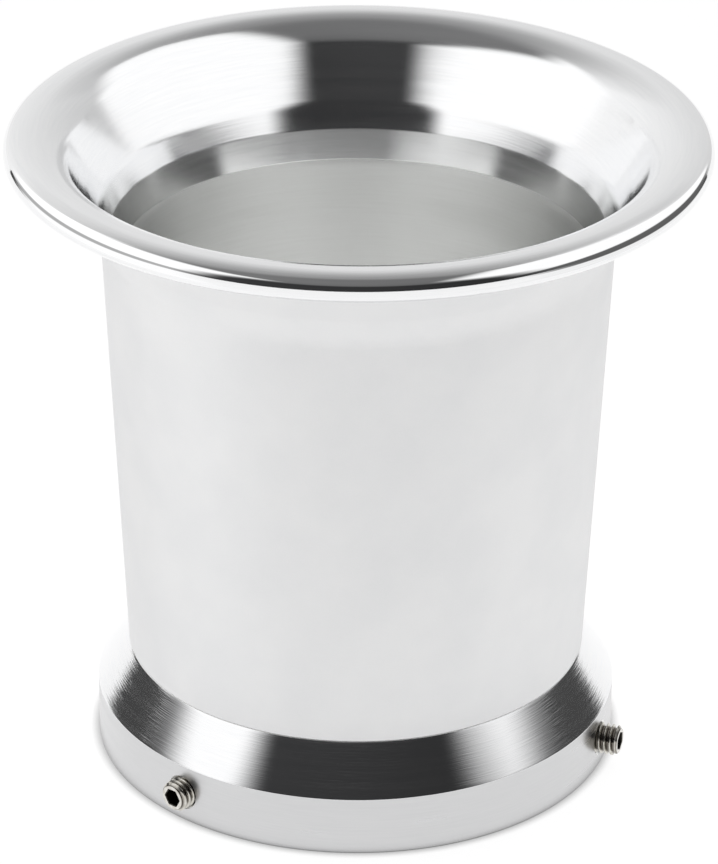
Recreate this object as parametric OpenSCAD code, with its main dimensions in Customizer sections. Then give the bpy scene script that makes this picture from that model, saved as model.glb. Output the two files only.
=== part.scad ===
// Intake trumpet: a flared air horn whose foot is pressed into a clamp collar.
// The collar slips over a round spigot and is held there by socket grub screws.
// The axis of the air passage is +Z and the collar's rim stands on the plane Z = 0.

/* [Bell] */
// Height of the whole trumpet, from the rim of the collar to the top of the lip
total_h = 81.2; // [70:0.1:110]
// Angle between the wall and the axis at the throat's edge
throat_slope = 22; // [14:0.5:25]
// Height of the land above the throat's edge, before the bell bends outwards
throat_l = 2.4; // [1.5:0.1:3.5]
// Radius of the bend between the land and the flare
bend_r = 8; // [5:0.1:12]
// Angle between the bell's straight flare and the axis
flare_slope = 30; // [26:0.5:36]
// Height of the bell's straight flare, between the bend and the curve of the lip
flare_l = 6.2; // [4:0.1:9]
// Radius of the bell's inner curve at the lip
lip_r = 5.6; // [4.5:0.1:8]
// Angle between the wall and the axis where the curve ends in the bead
lip_slope = 108.5; // [95:0.5:115]
// Thickness of the rounded bead along the lip
bead_d = 3.1; // [2.2:0.1:4]
// Thickness of the bell's wall
bell_wall = 1.4; // [1:0.1:2]

/* [Barrel] */
// Outside diameter of the barrel where the bell begins
throat_d = 62.3; // [60:0.1:70]
// Thickness of the barrel's wall
wall = 2.2; // [1.2:0.1:2.6]
// Length of the lead inside, from the throat's edge down to the bore of the barrel
lead_l = 3.8; // [2:0.1:6]
// Length of the barrel's foot inside the collar
foot_l = 4.2; // [3:0.1:5]
// Step from the barrel's outside in to its foot
foot_step = 0.45; // [0.3:0.05:0.7]

/* [Collar] */
// Outside diameter of the collar
collar_d = 65; // [62:0.5:72]
// Height of the collar's upright side
side_h = 7.5; // [6.5:0.1:10]
// Height of the bevel between the upright side and the barrel
bevel_h = 5.8; // [4.5:0.1:8]
// Thickness of the collar's wall round the bore that goes over the spigot
collar_wall = 5; // [4:0.1:6.5]
// Width of the ledge round the bore that the horn's foot stands over
seat_ledge = 0.6; // [0.3:0.05:1.2]
// Chamfer at the mouth of the bore
lead_in = 0.5; // [0.2:0.1:1]
// Small chamfer at the collar's outer bottom edge
edge_break = 0.25; // [0.1:0.05:0.6]
// Gap between the end of the foot and the floor of its seat
seat_gap = 0.1; // [0.05:0.05:0.3]

/* [Grub screws] */
// Outside diameter of the thread
screw_d = 3.9; // [2.9:0.1:4.9]
// Distance between one turn of the thread and the next
thread_pitch = 0.7; // [0.5:0.05:0.8]
// Depth of the thread
thread_depth = 0.4; // [0.25:0.01:0.5]
// Length of a screw
screw_l = 6; // [5:0.5:8]
// Width across the flats of the hexagon socket
socket_af = 2; // [1.5:0.1:2.2]
// Depth of the hexagon socket
socket_depth = 2.2; // [1.5:0.1:3]
// Diameter of the cup in the screw's tip
cup_d = 2; // [1.2:0.1:2.4]
// Radial clearance between a screw's thread and its hole
screw_gap = 0.05; // [0.02:0.01:0.1]
// How far the left screw stands out of the collar
left_proud = 1.8; // [0:0.1:3]
// How far the right screw stands out of the collar
right_proud = 2.6; // [0:0.1:3]
// How far the rear screw stands out of the collar
rear_proud = 2.2; // [0:0.1:3]
// Angle of the left screw about the axis, from -Y towards +X
left_angle = -40.5; // [-60:0.5:-30]
// Angle of the right screw
right_angle = 70.5; // [60:0.5:90]
// Angle of the rear screw
rear_angle = 195; // [170:0.5:210]

/* [Hidden] */
$fn = 144;

// The bore, the foot of the horn and the barrel above it follow the collar inwards.
bore_d = collar_d - 2*collar_wall;
foot_r = bore_d/2 + seat_ledge;
barrel_r = foot_r + foot_step;

collar_h = side_h + bevel_h;
foot_z = collar_h - foot_l;
seat_z = foot_z - seat_gap;
screw_z = side_h/2;
hole_d = screw_d + 2*screw_gap;

// The bell is a short land, a bend, a straight flare and the curve of the lip, which meet without corners.
// Their places follow from the throat's outside and from the top of the lip. The bead lies inside the end of
// the lip's curve.
bead_r = bead_d/2;
lip_z = total_h - lip_r;
bend_z = lip_z + (lip_r - bend_r)*sin(flare_slope) - flare_l;
throat_z = bend_z + bend_r*sin(throat_slope) - throat_l;
throat_r = throat_d/2 - bell_wall*cos(throat_slope);
bend_x = throat_r + throat_l*tan(throat_slope) + bend_r*cos(throat_slope);
lip_x = bend_x + (lip_r - bend_r)*cos(flare_slope) + flare_l*tan(flare_slope);
bead_x = lip_x - (lip_r - bead_r)*cos(lip_slope);
bead_z = lip_z + (lip_r - bead_r)*sin(lip_slope);
bend_steps = 12;
lip_steps = 24;

// The barrel widens evenly from the collar to the throat, where the bell begins on a cut across its wall.
barrel_top = throat_z - bell_wall*sin(throat_slope);
taper = (throat_d/2 - barrel_r)/(barrel_top - collar_h);

// Inside, the lead narrows from the throat's edge to the bore, which keeps the barrel's wall even.
lead_z = throat_z - lead_l;
lead_r = throat_d/2 - taper*(barrel_top - lead_z) - wall;
foot_bore_r = lead_r - taper*(lead_z - foot_z);

// The thread's helix starts and ends on plain lands. They share the length left over by whole turns,
// which is at least land_turns of a pitch.
thread_sides = 24;
land_turns = 0.2;
thread_turns = floor(screw_l/thread_pitch - 1 - land_turns);
thread_land = (screw_l - (thread_turns + 1)*thread_pitch)/2;
thread_end = thread_turns*thread_sides;
root_share = 0.25;
crest_share = 0.625;
core_r = screw_d/2 - thread_depth;

// A point on the bend or on the curve of the lip: share runs from 0 to 1 along the curve, and depth goes into
// the wall from the inside
function bend_point(share, depth) =
    let (slope = throat_slope + (flare_slope - throat_slope)*share)
    [bend_x - (bend_r - depth)*cos(slope), bend_z + (bend_r - depth)*sin(slope)];
function lip_point(share, depth) =
    let (slope = flare_slope + (lip_slope - flare_slope)*share)
    [lip_x - (lip_r - depth)*cos(slope), lip_z + (lip_r - depth)*sin(slope)];

// Section of the horn: up the outside from the foot to the lip, and back down the bell, the lead and the bore
module horn_section() {
    polygon([
        [foot_bore_r, foot_z],
        [foot_r, foot_z],
        [foot_r, collar_h],
        [barrel_r, collar_h],
        [throat_d/2, barrel_top],
        for (step = [0 : bend_steps]) bend_point(step/bend_steps, bell_wall),
        for (step = [0 : lip_steps]) lip_point(step/lip_steps, bell_wall),
        for (step = [lip_steps : -1 : 0]) lip_point(step/lip_steps, 0),
        for (step = [bend_steps : -1 : 0]) bend_point(step/bend_steps, 0),
        [throat_r, throat_z],
        [lead_r, lead_z]
    ]);
    translate([bead_x, bead_z])
        circle(r = bead_r);
}

module horn() {
    color("gainsboro")
        rotate_extrude()
            horn_section();
}

// Section of the collar: spigot bore below, seat for the horn's foot above
module collar_section() {
    polygon([
        [bore_d/2 + lead_in, 0],
        [collar_d/2 - edge_break, 0],
        [collar_d/2, edge_break],
        [collar_d/2, side_h],
        [barrel_r, collar_h],
        [foot_r, collar_h],
        [foot_r, seat_z],
        [bore_d/2, seat_z],
        [bore_d/2, lead_in]
    ]);
}

// Places its children on a screw's axis, with their +Z pointing out of the collar
module on_screw_axis(angle) {
    rotate([0, 0, angle - 90])
        translate([0, 0, screw_z])
            rotate([0, 90, 0])
                children();
}

module clamp_collar() {
    color("silver")
        difference() {
            rotate_extrude()
                collar_section();
            for (angle = [left_angle, right_angle, rear_angle])
                on_screw_axis(angle)
                    translate([0, 0, bore_d/4])
                        cylinder(h = collar_d/2, d = hole_d);
        }
}

// A point of the thread: k counts the steps along the helix, and share is the part of a pitch above it
function thread_z(k, share) = thread_land + thread_pitch*(k/thread_sides + share);
function thread_point(k, share, r) =
    let (a = 360*k/thread_sides)
    [r*cos(a), r*sin(a), thread_z(k, share)];

// The crest runs out to the core along a chamfer at each end of the screw
function crest_r(z) = min(screw_d/2, core_r + min(z, screw_l - z));
function crest_point(k) = thread_point(k, crest_share, crest_r(thread_z(k, crest_share)));
function end_ring(z) = [for (i = [0 : thread_sides - 1])
    [core_r*cos(360*i/thread_sides), core_r*sin(360*i/thread_sides), z]];

// A shank with a helical thread: lines of root and crest wind up between two plain end rings
module threaded_shank() {
    n = thread_sides;
    m = thread_end;
    root_low = [for (k = [0 : m + n]) thread_point(k, 0, core_r)];
    root_high = [for (k = [0 : m]) thread_point(k, root_share, core_r)];
    crest = [for (k = [0 : m]) crest_point(k)];
    points = concat(root_low, root_high, crest, end_ring(0), end_ring(screw_l));

    // Places of the lines in the list of points
    b = m + n + 1;
    c = b + m + 1;
    tip = c + m + 1;
    top = tip + n;

    function strip(low, high) = [for (k = [0 : m - 1]) each [
        [low + k, high + k, high + k + 1],
        [low + k, high + k + 1, low + k + 1]
    ]];
    tip_land = [for (i = [0 : n - 2]) each [
        [tip + i, i, i + 1],
        [tip + i, i + 1, tip + i + 1]
    ]];
    tip_seam = [
        [tip + n - 1, 0, tip],
        [tip + n - 1, b, 0],
        [tip + n - 1, n, b],
        [tip + n - 1, n - 1, n]
    ];
    top_land = [for (i = [1 : n - 1]) each [
        [m + i, top + i, top + (i + 1)%n],
        [m + i, top + (i + 1)%n, m + i + 1]
    ]];
    top_seam = [
        [m + 1, top, top + 1],
        [m + 1, m + n, top],
        [m + 1, b + m, m + n],
        [m + 1, m, b + m]
    ];
    thread_starts = [[b, n, c], [b + m, c + m, m + n]];
    caps = [
        [for (i = [0 : n - 1]) tip + i],
        [for (i = [n - 1 : -1 : 0]) top + i]
    ];
    polyhedron(
        points = points,
        faces = concat(strip(0, b), strip(b, c), strip(c, n), tip_land, tip_seam, top_land, top_seam,
            thread_starts, caps),
        convexity = 6
    );
}

// Socket grub screw with its tip at the origin and its hexagon socket at the outer end
module grub_screw() {
    socket_r = socket_af/2/cos(30);
    difference() {
        threaded_shank();
        translate([0, 0, screw_l - socket_depth])
            cylinder(h = screw_l, r = socket_r, $fn = 6);
        translate([0, 0, -cup_d/2])
            cylinder(h = cup_d, r1 = cup_d, r2 = 0);
    }
}

module set_screw(angle, proud) {
    color("lightgray")
        on_screw_axis(angle)
            translate([0, 0, collar_d/2 + proud - screw_l])
                grub_screw();
}

module set_screw_left() {
    set_screw(left_angle, left_proud);
}

module set_screw_right() {
    set_screw(right_angle, right_proud);
}

module set_screw_rear() {
    set_screw(rear_angle, rear_proud);
}

horn();
clamp_collar();
set_screw_left();
set_screw_right();
set_screw_rear();
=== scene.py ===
# %% [markdown]
# An intake horn on a clamp collar.
#
# The object is a turned aluminium air horn. A polished bell with a rounded bead gathers the air, a slightly
# tapered barrel with a blasted, matt outside leads it down, and a bevelled collar holds the barrel's foot.
# Three socket grub screws in the collar grip a round spigot. The solid model is a fixed frame here: it gives
# the bodies that move and the places of the pieces. This lesson dresses it with finer meshes and finishes.

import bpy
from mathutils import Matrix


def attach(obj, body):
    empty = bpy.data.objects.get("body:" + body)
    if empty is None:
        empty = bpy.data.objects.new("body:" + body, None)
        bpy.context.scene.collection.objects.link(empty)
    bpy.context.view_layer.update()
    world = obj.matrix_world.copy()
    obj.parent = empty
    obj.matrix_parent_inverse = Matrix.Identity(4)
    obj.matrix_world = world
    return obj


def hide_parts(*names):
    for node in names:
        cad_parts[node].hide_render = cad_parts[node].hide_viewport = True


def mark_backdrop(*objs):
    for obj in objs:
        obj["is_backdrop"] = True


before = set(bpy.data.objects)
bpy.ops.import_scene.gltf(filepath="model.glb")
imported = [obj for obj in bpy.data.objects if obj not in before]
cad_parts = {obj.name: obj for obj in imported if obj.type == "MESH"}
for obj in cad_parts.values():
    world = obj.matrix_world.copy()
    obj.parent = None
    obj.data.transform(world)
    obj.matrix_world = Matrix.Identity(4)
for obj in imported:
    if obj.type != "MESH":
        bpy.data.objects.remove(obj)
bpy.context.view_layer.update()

# %% [markdown]
# Tools.
#
# The meshes are written out with numpy and bmesh, which is quick and gives the same result on each run. The
# sizes are millimetres times MM, because Blender counts in metres. The view transform is Standard, so that a
# shade in a shader comes out as that shade in the picture.

# %% Tools for meshes and nodes
import math

import bmesh
import bpy
import numpy as np
from mathutils import Matrix

MM = 0.001
scene = bpy.context.scene
scene.view_settings.view_transform = "Standard"

# %% [markdown]
# The camera.
#
# A long lens about 0.6 m away looks down on the horn at about 27 degrees, so the near lip almost hides
# the throat. The place and the angles come from a fit to the round edges of the lip, the bevel and the rim,
# which are ellipses in the picture. A matrix made of three turns is used instead of a tracking constraint,
# because the fit also has a small roll, and a constraint would take it away.

# %% Camera
CAMERA_BACK = 509.85 * MM
CAMERA_UP = 298.37 * MM
CAMERA_PITCH = 0.46779
CAMERA_YAW = 0.00048
CAMERA_ROLL = 0.00673
CAMERA_LENS = 192.67

camera_data = bpy.data.cameras.new("camera")
camera_data.lens = CAMERA_LENS
camera_data.sensor_width = 36.0
camera_data.clip_start = 0.01
camera = bpy.data.objects.new("camera", camera_data)
camera.matrix_world = (
    Matrix.Translation((0.0, -CAMERA_BACK, CAMERA_UP))
    @ Matrix.Rotation(-CAMERA_YAW, 4, "Z")
    @ Matrix.Rotation(math.pi / 2 - CAMERA_PITCH, 4, "X")
    @ Matrix.Rotation(CAMERA_ROLL, 4, "Z")
)
scene.collection.objects.link(camera)
scene.camera = camera
print("camera", [round(x, 4) for x in camera.location])

# %% [markdown]
# Small helpers for node materials.
#
# Every finish below is one Principled shader with a few pattern nodes in front of it. The helpers make a
# node, set its values and join sockets in one line each, so that a finish reads as a short recipe.

# %% Node helpers
def add_node(tree, kind, links=(), **values):
    """Adds a node, sets its properties or inputs by name, and feeds its inputs from other sockets."""
    node = tree.nodes.new("ShaderNode" + kind)
    for name, value in values.items():
        if hasattr(node, name):
            setattr(node, name, value)
        else:
            node.inputs[name.replace("_", " ")].default_value = value
    for socket, source in links:
        tree.links.new(source, node.inputs[socket])
    return node


def math_node(tree, operation, *terms):
    """A Math node whose terms are numbers or sockets. Returns its result."""
    node = tree.nodes.new("ShaderNodeMath")
    node.operation = operation
    for place, term in enumerate(terms):
        if isinstance(term, bpy.types.NodeSocket):
            tree.links.new(term, node.inputs[place])
        else:
            node.inputs[place].default_value = term
    return node.outputs[0]


def spread(tree, source, low, high, start=0.0, end=1.0):
    """Maps a pattern from start..end to low..high, without going past either."""
    node = add_node(tree, "MapRange", [("Value", source)])
    for name, value in (("From Min", start), ("From Max", end), ("To Min", low), ("To Max", high)):
        node.inputs[name].default_value = value
    return node.outputs["Result"]


def grey(value):
    return (value, value, value, 1.0)


# %% [markdown]
# The floor.
#
# The horn stands on a white surface that melts into the background. The floor is a large plane with a pale
# diffuse shader, and it also glows for camera, glossy and transmission rays. The glow makes it white in the
# picture and in the metal, while the diffuse part still takes the horn's soft shadow. Close to the rim,
# where little light gets in, an Ambient Occlusion node dims the glow to a thin contact line.

# %% Floor
FLOOR_HALF = 6.0
FLOOR_GLOW = 0.91
FLOOR_COLOUR = 0.25
CONTACT_REACH = 0.0013

floor_mesh = bpy.data.meshes.new("floor")
floor_mesh.from_pydata(
    [(x * FLOOR_HALF, y * FLOOR_HALF, 0.0) for x, y in ((-1, -1), (1, -1), (1, 1), (-1, 1))],
    [],
    [(0, 1, 2, 3)],
)
floor = bpy.data.objects.new("floor", floor_mesh)
scene.collection.objects.link(floor)

paper = bpy.data.materials.new("floor_paper")
paper.use_nodes = True
tree = paper.node_tree
tree.nodes.clear()
path = add_node(tree, "LightPath")
seen = math_node(tree, "MAXIMUM", path.outputs["Is Camera Ray"], path.outputs["Is Glossy Ray"])
seen = math_node(tree, "MAXIMUM", seen, path.outputs["Is Transmission Ray"])
contact = add_node(tree, "AmbientOcclusion", samples=8, Distance=CONTACT_REACH).outputs["AO"]
glow = add_node(
    tree,
    "Emission",
    [("Strength", math_node(tree, "MULTIPLY", seen, math_node(tree, "MULTIPLY", contact, FLOOR_GLOW)))],
)
pale = add_node(tree, "BsdfDiffuse", Color=grey(FLOOR_COLOUR))
both = add_node(tree, "AddShader", [(0, pale.outputs[0]), (1, glow.outputs[0])])
add_node(tree, "OutputMaterial", [("Surface", both.outputs[0])])
floor_mesh.materials.append(paper)
print("floor", 2 * FLOOR_HALF, "m wide")

# %% [markdown]
# The background.
#
# A white studio sweep has no horizon. The world is plain white here, so the camera sees white wherever the
# floor ends. It lights nothing else, because the studio walls below stand all round the horn.

# %% Background
world = bpy.data.worlds.new("background")
scene.world = world
world.use_nodes = True
world.node_tree.nodes["Background"].inputs["Color"].default_value = grey(1.0)
print("background is plain white")

# %% [markdown]
# The studio walls.
#
# Polished metal has hardly any colour of its own: what shows is the room round it. The room is a large dome
# that the camera doesn't see. Its front is dark below a dim ceiling, and its back is bright near the floor
# and dims upwards. Two colour ramps along the height do that, and a soft step along Y changes from one to
# the other. The world could hold the same ramps, but then the camera would see them behind the horn.

# %% Studio walls
WALL_R = 5.8
FRONT_RAMP = (
    (0.00, (0.035, 0.035, 0.036)),
    (0.62, (0.036, 0.036, 0.037)),
    (0.68, (0.058, 0.058, 0.059)),
    (0.74, (0.148, 0.148, 0.149)),
    (0.85, (0.168, 0.168, 0.169)),
    (0.93, (0.178, 0.178, 0.179)),
)
BACK_RAMP = (
    (0.00, (0.820, 0.820, 0.820)),
    (0.47, (0.810, 0.810, 0.810)),
    (0.53, (0.740, 0.740, 0.740)),
    (0.62, (0.680, 0.680, 0.680)),
    (0.74, (0.490, 0.490, 0.490)),
    (0.79, (0.410, 0.410, 0.410)),
    (0.85, (0.345, 0.345, 0.345)),
    (0.93, (0.280, 0.280, 0.280)),
    (0.99, (0.180, 0.180, 0.181)),
)
LEFT_GAIN = 0.28
WALL_TURN = 0.42


def ramp_node(tree, source, steps):
    """A colour ramp made of (position, colour) steps."""
    node = add_node(tree, "ValToRGB", [("Fac", source)])
    while len(node.color_ramp.elements) < len(steps):
        node.color_ramp.elements.new(0.5)
    for element, (position, colour) in zip(node.color_ramp.elements, steps):
        element.position = position
        element.color = (*colour, 1.0)
    return node.outputs["Color"]


def mix_colour(tree, share, first, second):
    """Mixes two colour sockets."""
    node = add_node(tree, "Mix", data_type="RGBA")
    for name, source in (("Factor_Float", share), ("A_Color", first), ("B_Color", second)):
        socket = next(x for x in node.inputs if x.identifier == name)
        tree.links.new(source, socket)
    return next(x for x in node.outputs if x.identifier == "Result_Color")


wall_mesh = bpy.data.meshes.new("studio_walls")
work = bmesh.new()
bmesh.ops.create_uvsphere(work, u_segments=96, v_segments=48, radius=WALL_R)
work.to_mesh(wall_mesh)
work.free()
wall_mesh.shade_smooth()
walls = bpy.data.objects.new("studio_walls", wall_mesh)
scene.collection.objects.link(walls)
walls.visible_camera = False
walls.visible_transmission = False

paint = bpy.data.materials.new("studio_walls")
paint.use_nodes = True
tree = paint.node_tree
tree.nodes.clear()
direction = add_node(
    tree, "VectorMath", [("Vector", add_node(tree, "TexCoord").outputs["Object"])], operation="NORMALIZE"
)
toward = add_node(tree, "SeparateXYZ", [("Vector", direction.outputs["Vector"])])
height = toward.outputs["Z"]
front = ramp_node(tree, height, FRONT_RAMP)
back = ramp_node(tree, height, BACK_RAMP)
depth = add_node(tree, "MapRange", [("Value", toward.outputs["Y"])], interpolation_type="SMOOTHSTEP")
depth.inputs["From Min"].default_value = 0.0
depth.inputs["From Max"].default_value = WALL_TURN
gain = math_node(tree, "SUBTRACT", 1.0, math_node(tree, "MULTIPLY", toward.outputs["X"], LEFT_GAIN))
light = add_node(
    tree,
    "Emission",
    [("Color", mix_colour(tree, depth.outputs[0], front, back)), ("Strength", gain)],
)
add_node(tree, "OutputMaterial", [("Surface", light.outputs[0])])
wall_mesh.materials.append(paint)
print("studio walls", WALL_R, "m away")

# %% [markdown]
# The diffusers.
#
# A large white sheet stands at either side and opens towards the back, as diffusion paper hangs beside a
# small bright product. The bell, the lip and the bevel mirror the two sheets as white patches. Each sheet is
# one plane whose glow is cut by soft lines, because a hard edge would draw a hard line in the metal. A
# dimmer bar across each sheet gives the lip its thin dark line.

# %% Diffusers
SHEET_FRONT = (62, -105)
SHEET_YAW = 0.25
SHEET_Y = (-130, 260)
SHEET_Z = (2, 470)


def sheet_corner(side, y, z):
    """A corner of a sheet, in millimetres. The sheet opens towards the back."""
    x = SHEET_FRONT[0] + SHEET_YAW * (y - SHEET_FRONT[1])
    return (side * x, y, z)


def soft_edge(tree, along, up, start, end, softness):
    """1 on the left of the line from start to end, 0 on its right, with a soft change between."""
    reach = math.dist(start, end)
    across = ((start[1] - end[1]) / reach, (end[0] - start[0]) / reach)
    offset = (across[0] * start[0] + across[1] * start[1]) * MM
    inwards = math_node(
        tree,
        "ADD",
        math_node(tree, "MULTIPLY", along, across[0]),
        math_node(tree, "MULTIPLY", up, across[1]),
    )
    step = add_node(tree, "MapRange", [("Value", inwards)], interpolation_type="SMOOTHSTEP")
    step.inputs["From Min"].default_value = offset - softness * MM / 2
    step.inputs["From Max"].default_value = offset + softness * MM / 2
    return step.outputs["Result"]


def glow_plane(name, corners):
    """A plane of the studio that the camera doesn't see. Returns it with an empty node tree."""
    mesh = bpy.data.meshes.new(name)
    mesh.from_pydata([tuple(x * MM for x in corner) for corner in corners], [], [(0, 1, 2, 3)])
    plane = bpy.data.objects.new(name, mesh)
    scene.collection.objects.link(plane)
    plane.visible_camera = False
    plane.visible_shadow = False
    material = bpy.data.materials.new(name)
    material.use_nodes = True
    material.node_tree.nodes.clear()
    mesh.materials.append(material)
    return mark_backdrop(plane), material.node_tree


STRIPE_SOFT = 6
SHEET_DIM = (56, 112)


def diffuser(name, side, edges, stripe, strength):
    """A glowing sheet between soft edges, each made of one or more lines, with a dimmer bar across it."""
    (y0, y1), (z0, z1) = SHEET_Y, SHEET_Z
    corners = [sheet_corner(side, y, z) for y, z in ((y0, z0), (y1, z0), (y1, z1), (y0, z1))]
    plane, tree = glow_plane(name, corners)
    place = add_node(tree, "SeparateXYZ", [("Vector", add_node(tree, "NewGeometry").outputs["Position"])])
    along, up = place.outputs["Y"], place.outputs["Z"]
    share = 1.0
    for lines in edges:
        within = 0.0
        for start, end, softness in lines:
            within = math_node(tree, "MAXIMUM", within, soft_edge(tree, along, up, start, end, softness))
        share = math_node(tree, "MULTIPLY", share, within)
    bottom, top, bar_glow = stripe
    low, high = (soft_edge(tree, along, up, (0, z), (1, z), STRIPE_SOFT) for z in (bottom, top))
    bar = math_node(tree, "SUBTRACT", low, high)
    level = spread(tree, up, *strength, SHEET_DIM[0] * MM, SHEET_DIM[1] * MM)
    dimmed = math_node(tree, "MULTIPLY", level, spread(tree, bar, 1.0, bar_glow))
    glow = add_node(tree, "Emission", [("Strength", dimmed)])
    clear = add_node(tree, "BsdfTransparent")
    both = add_node(tree, "MixShader", [(0, share), (1, clear.outputs[0]), (2, glow.outputs[0])])
    add_node(tree, "OutputMaterial", [("Surface", both.outputs[0])])
    print(name, "has", len(edges), "edges")
    return plane


LEFT_EDGES = [
    [((-116, 188), (-92, 160), 40), ((-92, 160), (-90, 142), 40)],
    [((-90, 142), (-74, 110), 34), ((-81, 88), (-81, 0), 34)],
    [((-50, 12), (10, 60), 25)],
    [((88, 0), (88, 300), 40)],
    [((40, 200), (-30, 192), 40), ((90, 258), (40, 200), 40), ((-40, 182), (-116, 198), 36)],
]
RIGHT_EDGES = [
    [((-132, 212), (-100, 176), 44), ((-100, 176), (-92, 150), 44)],
    [((-92, 150), (-72, 112), 34), ((-77, 90), (-77, 0), 34)],
    [((-60, 12), (30, 66), 30)],
    [((112, 0), (112, 200), 40), ((112, 165), (235, 318), 50)],
    [((60, 396), (-95, 216), 66)],
]
diffuser("diffuser_left", -1, LEFT_EDGES, (79, 96, 0.42), (1.1, 1.14))
diffuser("diffuser_right", 1, RIGHT_EDGES, (68, 99, 0.12), (0.95, 1.1))

# %% [markdown]
# Dark cards.
#
# Bright metal looks flat when all round it is white, so photographers set dark cards beside it. Here a card
# far out at either side shows at the two ends of the bevel, and gives it its dark ends.

# %% Dark cards
CARD_GLOW = 0.06
CARD_X = 400
CARD_Y = (-10, 420)
CARD_Z = (20, 126)


def dark_card(name, corners, level):
    """A plain dark card of the studio."""
    plane, tree = glow_plane(name, corners)
    cloth = add_node(tree, "Emission", Color=grey(level))
    add_node(tree, "OutputMaterial", [("Surface", cloth.outputs[0])])
    return plane


for name, x in (("card_left", -CARD_X), ("card_right", CARD_X)):
    (y0, y1), (z0, z1) = CARD_Y, CARD_Z
    dark_card(name, [(x, y0, z0), (x, y1, z0), (x, y1, z1), (x, y0, z1)], CARD_GLOW)
print("dark cards", CARD_X, "mm out at either side")

# %% [markdown]
# Sizes.
#
# These are the same driving sizes as in the solid model, in metres here. The line that is printed shows
# the throat's edge and the top of the bore.

# %% Sizes
TOTAL_H = 81.2 * MM
THROAT_SLOPE = 22
THROAT_L = 2.4 * MM
BEND_R = 8 * MM
FLARE_SLOPE = 30
FLARE_L = 6.2 * MM
LIP_R = 5.6 * MM
LIP_SLOPE = 108.5
BEAD_R = 1.55 * MM
BELL_WALL = 1.4 * MM
THROAT_OUT_R = 31.15 * MM
WALL = 2.2 * MM
LEAD_L = 3.8 * MM
COLLAR_R = 32.5 * MM
SIDE_H = 7.5 * MM
COLLAR_H = 13.3 * MM
BORE_R = 27.5 * MM
FOOT_R = 28.1 * MM
BARREL_R = 28.55 * MM
FOOT_Z = 9.1 * MM
SEAT_Z = 9.0 * MM
SCREW_Z = SIDE_H / 2


def bell_curve(centre, radius, slope, depth=0.0):
    """A point of a curve of the bell, depth into the wall. The slope is the angle between wall and axis."""
    turn = math.radians(slope)
    reach = radius - depth
    return (centre[0] - reach * math.cos(turn), centre[1] + reach * math.sin(turn))


throat_turn, flare_turn = math.radians(THROAT_SLOPE), math.radians(FLARE_SLOPE)
lip_z = TOTAL_H - LIP_R
bend_z = lip_z + (LIP_R - BEND_R) * math.sin(flare_turn) - FLARE_L
throat_edge = (
    THROAT_OUT_R - BELL_WALL * math.cos(throat_turn),
    bend_z + BEND_R * math.sin(throat_turn) - THROAT_L,
)
bend_x = throat_edge[0] + THROAT_L * math.tan(throat_turn) + BEND_R * math.cos(throat_turn)
lip_x = bend_x + (LIP_R - BEND_R) * math.cos(flare_turn) + FLARE_L * math.tan(flare_turn)
BEND_CENTRE, LIP_CENTRE = (bend_x, bend_z), (lip_x, lip_z)
BEAD_CENTRE = bell_curve(LIP_CENTRE, LIP_R, LIP_SLOPE, BEAD_R)
barrel_top = (THROAT_OUT_R, throat_edge[1] - BELL_WALL * math.sin(throat_turn))
TAPER = (THROAT_OUT_R - BARREL_R) / (barrel_top[1] - COLLAR_H)
bore_z = throat_edge[1] - LEAD_L
bore_top = (THROAT_OUT_R - TAPER * (barrel_top[1] - bore_z) - WALL, bore_z)
foot_bore = (bore_top[0] - TAPER * (bore_z - FOOT_Z), FOOT_Z)
print("throat's edge at", [round(x, 5) for x in throat_edge], "bore from", [round(x, 5) for x in bore_top])

# %% [markdown]
# Turned bodies.
#
# Both aluminium pieces come off a lathe, so both are made the way a lathe makes them: a closed section is
# turned about the axis. A Screw modifier could do it, but writing the rings out gives each band of faces its
# finish and a UV map for free. In that map U runs round the axis and V along the section in metres, which is
# what the tool marks need later.

# %% Lathe
TURN_STEPS = 512
SHARP_ANGLE = math.radians(32)
MERGE = 0.0005 * MM


def line(start, end, count=2):
    return [tuple(p) for p in np.linspace(start, end, count)]


def arc(centre, radius, start, end, count):
    """Points of the section along an arc, between two angles in degrees."""
    turn = np.radians(np.linspace(start, end, count))
    return [(centre[0] + radius * math.cos(a), centre[1] + radius * math.sin(a)) for a in turn]


def finish_mesh(mesh):
    """Turns all faces outwards and shades them smooth, except across sharp edges."""
    work = bmesh.new()
    work.from_mesh(mesh)
    bmesh.ops.recalc_face_normals(work, faces=work.faces)
    work.to_mesh(mesh)
    work.free()
    mesh.shade_smooth()
    mesh.set_sharp_from_angle(angle=SHARP_ANGLE)


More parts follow.
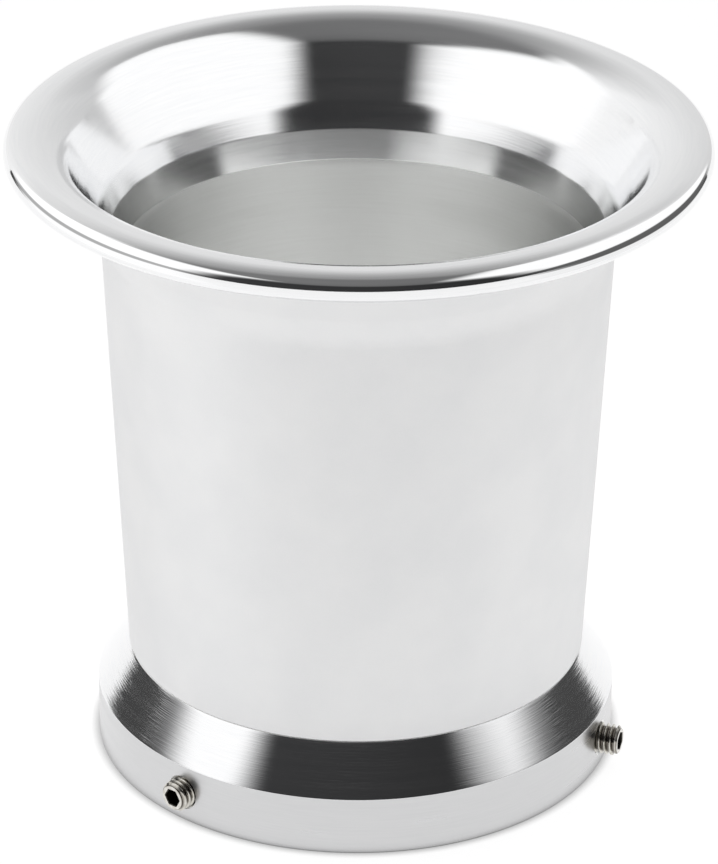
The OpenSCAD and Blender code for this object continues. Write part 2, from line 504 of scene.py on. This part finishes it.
def turned_body(name, section, finishes, steps=TURN_STEPS):
    """Turns a closed section about Z. section is a chain of (finish, points) stretches."""
    rows, finish_of_row = [], []
    for finish, points in section:
        rows += points[:-1]
        finish_of_row += [finishes.index(finish)] * (len(points) - 1)
    rows = np.array(rows)
    count = len(rows)
    turn = np.arange(steps) * 2 * math.pi / steps + math.pi / 2
    places = np.empty((count, steps, 3))
    places[..., 0] = np.outer(rows[:, 0], np.cos(turn))
    places[..., 1] = np.outer(rows[:, 0], np.sin(turn))
    places[..., 2] = rows[:, 1:2]
    row, step = np.meshgrid(np.arange(count), np.arange(steps), indexing="ij")
    next_row, next_step = (row + 1) % count, (step + 1) % steps
    corners = [(row, step), (row, next_step), (next_row, next_step), (next_row, step)]
    faces = np.stack([r * steps + s for r, s in corners], -1).reshape(-1, 4)
    mesh = bpy.data.meshes.new(name)
    mesh.from_pydata(places.reshape(-1, 3).tolist(), [], faces.tolist())

    lengths = np.linalg.norm(np.roll(rows, -1, 0) - rows, axis=1)
    along = np.concatenate([[0.0], np.cumsum(lengths)])
    round_uv = np.stack([step, step + 1, step + 1, step], -1) / steps
    along_uv = along[np.stack([row, row, row + 1, row + 1], -1)]
    layer = mesh.uv_layers.new(name="turning")
    layer.uv.foreach_set("vector", np.stack([round_uv, along_uv], -1).astype(np.float32).ravel())
    mesh.polygons.foreach_set("material_index", np.repeat(finish_of_row, steps).astype(np.int32))
    finish_mesh(mesh)
    body = bpy.data.objects.new(name, mesh)
    scene.collection.objects.link(body)
    print(name, "has", len(mesh.polygons), "faces")
    return body


# %% [markdown]
# The horn.
#
# The section starts at the foot, climbs the matt outside, goes under the flare and round the bead, and comes
# back over the polished bell into the bore. Above the throat the bell ends in a short, steeper strip, and
# below the throat's edge a lead slants into the bore. Each of these cuts mirrors another part of the room, so
# each has its own stretch of the section and its own finish. A small groove above the collar keeps the seam
# between the two pieces dark, as a pressed joint is.

# %% Horn
SEAM = 0.1 * MM
BEAD_MATT = -118

bend_slopes = np.linspace(THROAT_SLOPE, FLARE_SLOPE, 40)
lip_slopes = np.linspace(FLARE_SLOPE, LIP_SLOPE, 80)
bend_outside = [bell_curve(BEND_CENTRE, BEND_R, slope, BELL_WALL) for slope in bend_slopes[::3]]
outer_r, bead_reach = LIP_R - BELL_WALL, LIP_R - BEAD_R
meeting = (outer_r**2 + bead_reach**2 - BEAD_R**2) / (2 * outer_r * bead_reach)
bead_slope = LIP_SLOPE - math.degrees(math.acos(meeting))
outside_slopes = np.linspace(FLARE_SLOPE, bead_slope, 32)
lip_outside = [bell_curve(LIP_CENTRE, LIP_R, slope, BELL_WALL) for slope in outside_slopes]
bead_in = np.subtract(lip_outside[-1], BEAD_CENTRE)
bead_start = math.degrees(math.atan2(bead_in[1], bead_in[0])) - 360
lip_inside = [bell_curve(LIP_CENTRE, LIP_R, slope) for slope in lip_slopes[::-1]]
bend_inside = [bell_curve(BEND_CENTRE, BEND_R, slope) for slope in bend_slopes[::-1]]

horn_section = [
    ("matt", line(foot_bore, (FOOT_R, FOOT_Z))),
    ("matt", line((FOOT_R, FOOT_Z), (FOOT_R, COLLAR_H))),
    ("matt", line((FOOT_R, COLLAR_H), (BARREL_R - SEAM, COLLAR_H))),
    ("matt", line((BARREL_R - SEAM, COLLAR_H), (BARREL_R + TAPER * SEAM, COLLAR_H + SEAM))),
    ("matt", line((BARREL_R + TAPER * SEAM, COLLAR_H + SEAM), barrel_top, 40)),
    ("matt", bend_outside),
    ("matt", lip_outside),
    ("matt", arc(BEAD_CENTRE, BEAD_R, bead_start, BEAD_MATT, 24)),
    ("lip", arc(BEAD_CENTRE, BEAD_R, BEAD_MATT, 180 - LIP_SLOPE, 48)),
    ("bright", lip_inside),
    ("bright", bend_inside),
    ("bright", line(bend_inside[-1], throat_edge, 16)),
    ("lead", line(throat_edge, bore_top, 24)),
    ("bore", line(bore_top, foot_bore, 60)),
]
chained = [(finish, list(points)) for finish, points in horn_section]
for (_, points), (_, following) in zip(chained, chained[1:] + chained[:1]):
    if points[-1] != following[0]:
        points.append(following[0])

HORN_FINISHES = ["matt", "lip", "bright", "lead", "bore"]
horn = turned_body("horn_shell", chained, HORN_FINISHES)

# %% [markdown]
# The collar.
#
# The collar is a thick ring with an upright satin side and a bright bevel. Its edges are broken by tiny
# rounds, so that each edge draws its own thin line of light. A Bevel modifier could round them too, but then
# the band of the bevel and the band of the side would no longer end where their finishes change.

# %% Collar
EDGE_R = 0.22 * MM
BORE_LEAD = 0.5 * MM
bevel_angle = math.degrees(math.atan2(COLLAR_H - SIDE_H, COLLAR_R - BARREL_R))


def rounded(before, corner, after, radius, count=6):
    """Points of a small round that takes the place of a corner of the section."""
    corner = np.array(corner)
    one, two = (np.array(p) - corner for p in (before, after))
    one, two = one / np.linalg.norm(one), two / np.linalg.norm(two)
    half = math.acos(float(one @ two)) / 2
    middle = corner + (one + two) / np.linalg.norm(one + two) * radius / math.sin(half)
    start, end = (corner + side * radius / math.tan(half) - middle for side in (one, two))
    first = math.degrees(math.atan2(start[1], start[0]))
    last = math.degrees(math.atan2(end[1], end[0]))
    last += 360 * round((first - last) / 360)
    return arc(middle, radius, first, last, count)


collar_corners = [
    ("bore", (BORE_R + BORE_LEAD, 0.0), 0.0),
    ("side", (COLLAR_R, 0.0), EDGE_R),
    ("bevel", (COLLAR_R, SIDE_H), EDGE_R / 2),
    ("bore", (BARREL_R, COLLAR_H), SEAM / 2),
    ("bore", (FOOT_R, COLLAR_H), 0.0),
    ("bore", (FOOT_R, SEAT_Z), 0.0),
    ("bore", (BORE_R, SEAT_Z), 0.0),
    ("bore", (BORE_R, BORE_LEAD), 0.0),
]
rounds = []
for k, (finish, corner, radius) in enumerate(collar_corners):
    before = collar_corners[k - 1][1]
    after = collar_corners[(k + 1) % len(collar_corners)][1]
    rounds.append(rounded(before, corner, after, radius) if radius else [corner])
STRETCH_ROWS = {"side": 20, "bevel": 20, "bore": 4}
collar_section = []
for k, points in enumerate(rounds):
    finish = collar_corners[k][0]
    following = rounds[(k + 1) % len(rounds)]
    if len(points) > 1:
        collar_section.append((finish, points))
    collar_section.append((finish, line(points[-1], following[0], STRETCH_ROWS[finish])))

COLLAR_FINISHES = ["side", "bevel", "bore"]
collar = turned_body("collar_ring", collar_section, COLLAR_FINISHES)

# %% [markdown]
# The grub screws.
#
# A grub screw is a short threaded pin with a hexagon socket. Its thread winds up one helix, so the rows of
# the mesh follow that helix too: each row lies at one place of the thread's profile, and crests and roots
# stay clean lines. Where the helix would pass an end of the screw, its points are held at that end and
# then merged, which leaves a clean ring for the socket and for the cup in the tip.

# %% Grub screw mesh
SCREW_L = 6 * MM
SCREW_R = 1.95 * MM
THREAD_PITCH = 0.7 * MM
THREAD_DEPTH = 0.4 * MM
SOCKET_AF = 2 * MM
SOCKET_DEPTH = 2.2 * MM
CUP_R = 1 * MM
RIM_BREAK = 0.1 * MM
SCREW_SIDES = 96
PITCH_ROWS = 16
CORE_R = SCREW_R - THREAD_DEPTH


def thread_radius(phase, z):
    """Radius at a share of the pitch: flat root, rounded flanks, narrow crest, and a chamfer at each end."""
    flank = np.clip((0.375 - np.abs(phase - 0.625)) / 0.3, 0, 1)
    thread = CORE_R + THREAD_DEPTH * (0.6 * flank + 0.4 * flank * flank * (3 - 2 * flank))
    return np.minimum(thread, CORE_R + np.minimum(z, SCREW_L - z))


def grub_screw_mesh(name, spin):
    """A grub screw with its tip at the origin and its socket at the end of +Z. spin turns the socket."""
    rows = int(PITCH_ROWS * (SCREW_L / THREAD_PITCH + 1)) + 2
    row, side = np.meshgrid(np.arange(rows), np.arange(SCREW_SIDES), indexing="ij")
    z = THREAD_PITCH * (row / PITCH_ROWS + side / SCREW_SIDES - 1)
    z = np.clip(z, 0, SCREW_L)
    radius = thread_radius((row / PITCH_ROWS) % 1.0, z)
    angle = 2 * math.pi * side / SCREW_SIDES
    places = np.stack([radius * np.cos(angle), radius * np.sin(angle), z], -1).reshape(-1, 3).tolist()

    def at(r, s):
        return min(r + PITCH_ROWS * (s // SCREW_SIDES), rows - 1) * SCREW_SIDES + s % SCREW_SIDES

    faces = [
        (at(r, s), at(r, s + 1), at(r + 1, s + 1), at(r + 1, s))
        for r in range(rows - 1)
        for s in range(SCREW_SIDES)
    ]
    finish_of_face = [0] * len(faces)

    turn = 2 * math.pi * np.arange(SCREW_SIDES) / SCREW_SIDES
    sector = (turn + spin) % (math.pi / 3) - math.pi / 6
    hexagon = SOCKET_AF / 2 / np.cos(sector)
    floor_z = SCREW_L - SOCKET_DEPTH
    round_r = np.full(SCREW_SIDES, 1.0)
    # Finish 1 on the socket's walls and floor is the socket's painted shade.
    rings = [
        (CORE_R * round_r, SCREW_L, 2),
        (hexagon + RIM_BREAK, SCREW_L, 2),
        (hexagon, SCREW_L - RIM_BREAK, 1),
        (hexagon, floor_z, 1),
        (hexagon * 0.02, floor_z - 0.3 * SOCKET_AF, 1),
    ]
    tip_rings = [
        (CORE_R * round_r, 0.0, 2),
        (CUP_R * round_r, 0.0, 2),
        (CUP_R * 0.02 * round_r, CUP_R, 2),
    ]
    for chain in (rings, tip_rings):
        for place, (ring_r, ring_z, finish) in enumerate(chain):
            first = len(places)
            places += [(r * math.cos(a), r * math.sin(a), ring_z) for r, a in zip(ring_r, turn)]
            if place:
                last = first - SCREW_SIDES
                for s in range(SCREW_SIDES):
                    t = (s + 1) % SCREW_SIDES
                    faces.append((last + s, last + t, first + t, first + s))
                    finish_of_face.append(finish)
        faces.append(tuple(range(len(places) - SCREW_SIDES, len(places))))
        finish_of_face.append(chain[-1][2])

    mesh = bpy.data.meshes.new(name)
    mesh.from_pydata(places, [], faces)
    mesh.polygons.foreach_set("material_index", finish_of_face)
    work = bmesh.new()
    work.from_mesh(mesh)
    bmesh.ops.remove_doubles(work, verts=work.verts, dist=MERGE)
    bmesh.ops.dissolve_degenerate(work, edges=work.edges, dist=MERGE)
    work.to_mesh(mesh)
    work.free()
    finish_mesh(mesh)
    return mesh


# %% [markdown]
# The screws in their places.
#
# Each screw points at the horn's axis and stands a little proud of the collar. One matrix carries a screw
# from the origin to its hole: a turn that lays it down, a move outwards, and a turn round the horn.

# %% Screws in their places
SCREWS = {
    "left": {"angle": -40.5, "proud": 1.8 * MM, "spin": 28},
    "right": {"angle": 70.5, "proud": 2.6 * MM, "spin": 0},
    "rear": {"angle": 195.0, "proud": 2.2 * MM, "spin": 15},
}


def screw_frame(angle, reach):
    """A place on a screw's axis, reach from the horn's axis, with +Z pointing out of the collar."""
    return (
        Matrix.Rotation(math.radians(angle - 90), 4, "Z")
        @ Matrix.Translation((reach, 0.0, SCREW_Z))
        @ Matrix.Rotation(math.pi / 2, 4, "Y")
    )


screws = {}
for side, place in SCREWS.items():
    mesh = grub_screw_mesh("grub_screw_" + side, math.radians(place["spin"]))
    piece = bpy.data.objects.new("grub_screw_" + side, mesh)
    scene.collection.objects.link(piece)
    piece.matrix_world = screw_frame(place["angle"], COLLAR_R + place["proud"] - SCREW_L)
    screws[side] = piece
    print(piece.name, "has", len(mesh.polygons), "faces")

# %% [markdown]
# The tapped holes.
#
# A drilled hole with a small sink is the work of a turned cutter, so the same lathe function makes one for
# each screw. The cutter's section reaches its axis, and the points there are joined into one, so that the
# cutter is solid and leaves nothing standing in the hole. Boolean modifiers take the cutters out of the
# collar. They are applied once the collar has its finishes, because the cut faces take the bore's finish.

# %% Tapped holes
HOLE_R = 2.0 * MM
HOLE_SINK = 0.25 * MM
CUT_START = 24 * MM
CUT_END = 34 * MM
CUTTER_STEPS = 128
sink_r = HOLE_R + HOLE_SINK
hole_section = [
    ("bore", line((0.0, CUT_START), (HOLE_R, CUT_START))),
    ("bore", line((HOLE_R, CUT_START), (HOLE_R, COLLAR_R - HOLE_SINK), 12)),
    ("bore", line((HOLE_R, COLLAR_R - HOLE_SINK), (sink_r, COLLAR_R))),
    ("bore", line((sink_r, COLLAR_R), (sink_r, CUT_END))),
    ("bore", line((sink_r, CUT_END), (0.0, CUT_END))),
    ("bore", line((0.0, CUT_END), (0.0, CUT_START))),
]
for side, place in SCREWS.items():
    cutter = turned_body("hole_cutter_" + side, hole_section, COLLAR_FINISHES, CUTTER_STEPS)
    work = bmesh.new()
    work.from_mesh(cutter.data)
    bmesh.ops.remove_doubles(work, verts=work.verts, dist=MERGE)
    work.to_mesh(cutter.data)
    work.free()
    finish_mesh(cutter.data)
    cutter.matrix_world = screw_frame(place["angle"], 0.0)
    cut = collar.modifiers.new("tapped_hole_" + side, "BOOLEAN")
    cut.operation = "DIFFERENCE"
    cut.solver = "EXACT"
    cut.object = cutter

# %% [markdown]
# Turning marks.
#
# A lathe leaves fine lines round the axis, and polishing leaves some of them. Noise that changes slowly
# round the axis and quickly across the lines gives both. It moves colour, roughness and a slight bump, and
# anisotropy stretches the highlights across the lines. A picture of brushed metal could do this too, but
# the noise has no seam and keeps its scale on each piece.

# %% Turning marks
def turning_place(tree, around, across):
    """A place on a turned surface that changes slowly round the axis and quickly across the tool marks."""
    here = add_node(tree, "SeparateXYZ", [("Vector", add_node(tree, "TexCoord").outputs["Object"])])
    turning = add_node(tree, "UVMap", uv_map="turning")
    along = add_node(tree, "SeparateXYZ", [("Vector", turning.outputs[0])])
    joined = add_node(
        tree,
        "CombineXYZ",
        [
            ("X", math_node(tree, "MULTIPLY", here.outputs["X"], 1 / around)),
            ("Y", math_node(tree, "MULTIPLY", here.outputs["Y"], 1 / around)),
            ("Z", math_node(tree, "MULTIPLY", along.outputs["Y"], 1 / across)),
        ],
    )
    return joined.outputs[0]


def metal(name, colour, roughness, anisotropy=0.0):
    """A plain metal shader to build a finish on. Returns the material, its tree and the shader."""
    material = bpy.data.materials.new(name)
    material.use_nodes = True
    tree = material.node_tree
    shader = tree.nodes["Principled BSDF"]
    shader.inputs["Metallic"].default_value = 1.0
    shader.inputs["Base Color"].default_value = (*colour, 1.0)
    shader.inputs["Roughness"].default_value = roughness
    if anisotropy:
        shader.inputs["Anisotropic"].default_value = anisotropy
        shader.inputs["Anisotropic Rotation"].default_value = 0.25
        tangent = add_node(tree, "Tangent", direction_type="RADIAL", axis="Z")
        tree.links.new(tangent.outputs[0], shader.inputs["Tangent"])
    return material, tree, shader


def tint(tree, shader, pattern, dark, light):
    """Lets a pattern move the metal's colour between two close shades."""
    shades = [add_node(tree, "RGB") for _ in range(2)]
    for node, colour in zip(shades, (dark, light)):
        node.outputs[0].default_value = (*colour, 1.0)
    mixed = mix_colour(tree, pattern, shades[0].outputs[0], shades[1].outputs[0])
    tree.links.new(mixed, shader.inputs["Base Color"])


def turned_metal(name, dark, light, roughness, marks, height, anisotropy):
    """Bright metal with tool marks. roughness and marks are (low, high) and (around, across) pairs."""
    material, tree, shader = metal(name, light, roughness[0], anisotropy)
    fine = add_node(tree, "TexNoise", [("Vector", turning_place(tree, *marks))], Scale=1.0, Detail=3.0)
    broad = add_node(
        tree, "TexNoise", [("Vector", turning_place(tree, 6 * marks[0], 7 * marks[1]))], Scale=1.0, Detail=2.0
    )
    pattern = math_node(tree, "ADD", fine.outputs[0], math_node(tree, "MULTIPLY", broad.outputs[0], 0.5))
    tint(tree, shader, spread(tree, pattern, 0.0, 1.0, 0.5, 1.0), dark, light)
    tree.links.new(spread(tree, broad.outputs[0], *roughness, 0.3, 0.7), shader.inputs["Roughness"])
    bump = add_node(tree, "Bump", [("Height", pattern)], Strength=1.0, Distance=height)
    tree.links.new(bump.outputs[0], shader.inputs["Normal"])
    return material


# %% [markdown]
# The horn's finishes.
#
# The outside is blasted: a fine, even grain that scatters light, so it is rough and has no tool lines. The
# bead is the brightest surface, the bell is polished over its tool lines, and the lead and the bore are left
# as they were turned. Five materials on one mesh are simpler than five meshes, because the cuts meet edge
# to edge.

# %% Horn finishes
GRAIN = 0.16 * MM
CLOUD = 9 * MM

matt_material, tree, shader = metal("blasted_aluminium", (0.85, 0.85, 0.855), 0.5)
place = add_node(tree, "TexCoord").outputs["Object"]
grain = add_node(tree, "TexNoise", [("Vector", place)], Scale=1 / GRAIN, Detail=2.0)
cloud = add_node(tree, "TexNoise", [("Vector", place)], Scale=1 / CLOUD, Detail=3.0)
cloudy = spread(tree, cloud.outputs[0], 0, 1, 0.35, 0.65)
tint(tree, shader, cloudy, (0.838, 0.84, 0.845), (0.866, 0.866, 0.868))
tree.links.new(spread(tree, grain.outputs[0], 0.46, 0.56, 0.3, 0.7), shader.inputs["Roughness"])
bump = add_node(tree, "Bump", [("Height", grain.outputs[0])], Strength=1.0, Distance=0.006 * MM)
tree.links.new(bump.outputs[0], shader.inputs["Normal"])

lip_material = turned_metal(
    "polished_lip",
    dark=(0.89, 0.892, 0.9),
    light=(0.92, 0.922, 0.925),
    roughness=(0.045, 0.075),
    marks=(6 * MM, 0.2 * MM),
    height=0.0004 * MM,
    anisotropy=0.3,
)
bright_material = turned_metal(
    "polished_bell",
    dark=(0.88, 0.885, 0.895),
    light=(0.92, 0.922, 0.925),
    roughness=(0.1, 0.14),
    marks=(6 * MM, 0.2 * MM),
    height=0.003 * MM,
    anisotropy=0.85,
)
lead_material = turned_metal(
    "turned_lead",
    dark=(0.9, 0.905, 0.9),
    light=(0.94, 0.945, 0.94),
    roughness=(0.12, 0.17),
    marks=(7 * MM, 0.25 * MM),
    height=0.001 * MM,
    anisotropy=0.85,
)
bore_material = turned_metal(
    "turned_bore",
    dark=(0.93, 0.935, 0.925),
    light=(0.97, 0.975, 0.965),
    roughness=(0.3, 0.38),
    marks=(7 * MM, 0.3 * MM),
    height=0.001 * MM,
    anisotropy=0.75,
)
for material in (matt_material, lip_material, bright_material, lead_material, bore_material):
    horn.data.materials.append(material)
print("horn finishes:", [material.name for material in horn.data.materials])

# %% [markdown]
# The collar's finishes.
#
# The upright side is a soft satin, and the bevel is a fresh bright cut whose lines catch the sheets. Both are
# the same turned metal with other numbers: the deeper bump of the bevel breaks the ends of its white patches
# into streaks.

# %% Collar finishes
side_material = turned_metal(
    "satin_side",
    dark=(0.65, 0.652, 0.658),
    light=(0.68, 0.68, 0.685),
    roughness=(0.26, 0.34),
    marks=(5 * MM, 0.2 * MM),
    height=0.0008 * MM,
    anisotropy=0.4,
)
bevel_material = turned_metal(
    "turned_bevel",
    dark=(0.88, 0.885, 0.895),
    light=(0.92, 0.92, 0.925),
    roughness=(0.07, 0.1),
    marks=(4 * MM, 0.15 * MM),
    height=0.008 * MM,
    anisotropy=0.8,
)
for material in (side_material, bevel_material, bore_material):
    collar.data.materials.append(material)
print("collar finishes:", [material.name for material in collar.data.materials])

# %% [markdown]
# The screws' finishes.
#
# The screws are stainless steel, warmer and darker than the aluminium, with smears from handling. The
# thread's colour darkens towards its core by the distance from the screw's axis: a painted shade in the
# roots. The socket's near-black colour is a painted shade too, because little light comes out of it again.

# %% Screw finishes
SMEAR = 0.6 * MM
# Where the painted shade in the thread's roots begins and ends, as distances from the screw's axis.
ROOT_SHADE_FROM = CORE_R + 0.02 * MM
ROOT_SHADE_TO = CORE_R + 0.24 * MM


def screw_metal(name, dark, light, rough):
    """Steel with smears. Returns the material, its tree, its shader and the place that varies it."""
    material, tree, shader = metal(name, light, rough[0])
    place = add_node(tree, "TexCoord").outputs["Object"]
    smear = add_node(tree, "TexNoise", [("Vector", place)], Scale=1 / SMEAR, Detail=3.0)
    share = spread(tree, smear.outputs[0], 0.0, 1.0, 0.35, 0.65)
    tree.links.new(spread(tree, smear.outputs[0], *rough, 0.3, 0.7), shader.inputs["Roughness"])
    tint(tree, shader, share, dark, light)
    return material, tree, shader, place


steel_material, *_ = screw_metal("screw_steel", (0.6, 0.575, 0.525), (0.78, 0.765, 0.73), (0.1, 0.22))
# The socket's near-black colour is a painted shade in the recess.
socket_shade_material, *_ = screw_metal(
    "socket_shadow", (0.03, 0.028, 0.025), (0.1, 0.092, 0.08), (0.4, 0.5)
)
thread_material, tree, shader, place = screw_metal(
    "screw_thread", (0.52, 0.5, 0.45), (0.7, 0.68, 0.635), (0.12, 0.24)
)
# Painted shade in the roots: the thread's colour goes from the dark root shade at the core to the steel at
# the crest.
here = add_node(tree, "SeparateXYZ", [("Vector", place)])
squares = [math_node(tree, "POWER", here.outputs[axis], 2.0) for axis in "XY"]
from_axis = math_node(tree, "SQRT", math_node(tree, "ADD", *squares))
crest = spread(tree, from_axis, 0.0, 1.0, ROOT_SHADE_FROM, ROOT_SHADE_TO)
root_shade = add_node(tree, "RGB")
root_shade.outputs[0].default_value = (0.17, 0.155, 0.135, 1.0)
steel = shader.inputs["Base Color"].links[0].from_socket
tree.links.new(mix_colour(tree, crest, root_shade.outputs[0], steel), shader.inputs["Base Color"])
for piece in screws.values():
    for material in (thread_material, socket_shade_material, steel_material):
        piece.data.materials.append(material)
print("screw finishes:", [material.name for material in screws["left"].data.materials])

# %% [markdown]
# Cutting the holes.
#
# Applying the modifiers makes the cut final, and the cutters are then taken away. The new edges are marked
# sharp again, so that the rim of each hole stays crisp.

# %% Cut the holes
for modifier in list(collar.modifiers):
    with bpy.context.temp_override(object=collar, active_object=collar):
        bpy.ops.object.modifier_apply(modifier=modifier.name)
for side in SCREWS:
    bpy.data.objects.remove(bpy.data.objects["hole_cutter_" + side])
collar.data.set_sharp_from_angle(angle=SHARP_ANGLE)
print("collar_ring has", len(collar.data.polygons), "faces after its holes")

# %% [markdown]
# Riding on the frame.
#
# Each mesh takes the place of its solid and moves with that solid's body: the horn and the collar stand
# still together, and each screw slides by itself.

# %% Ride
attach(horn, "stack")
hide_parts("horn")
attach(collar, "stack")
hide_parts("clamp_collar")
for side, piece in screws.items():
    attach(piece, "screw_" + side)
    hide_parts("set_screw_" + side)
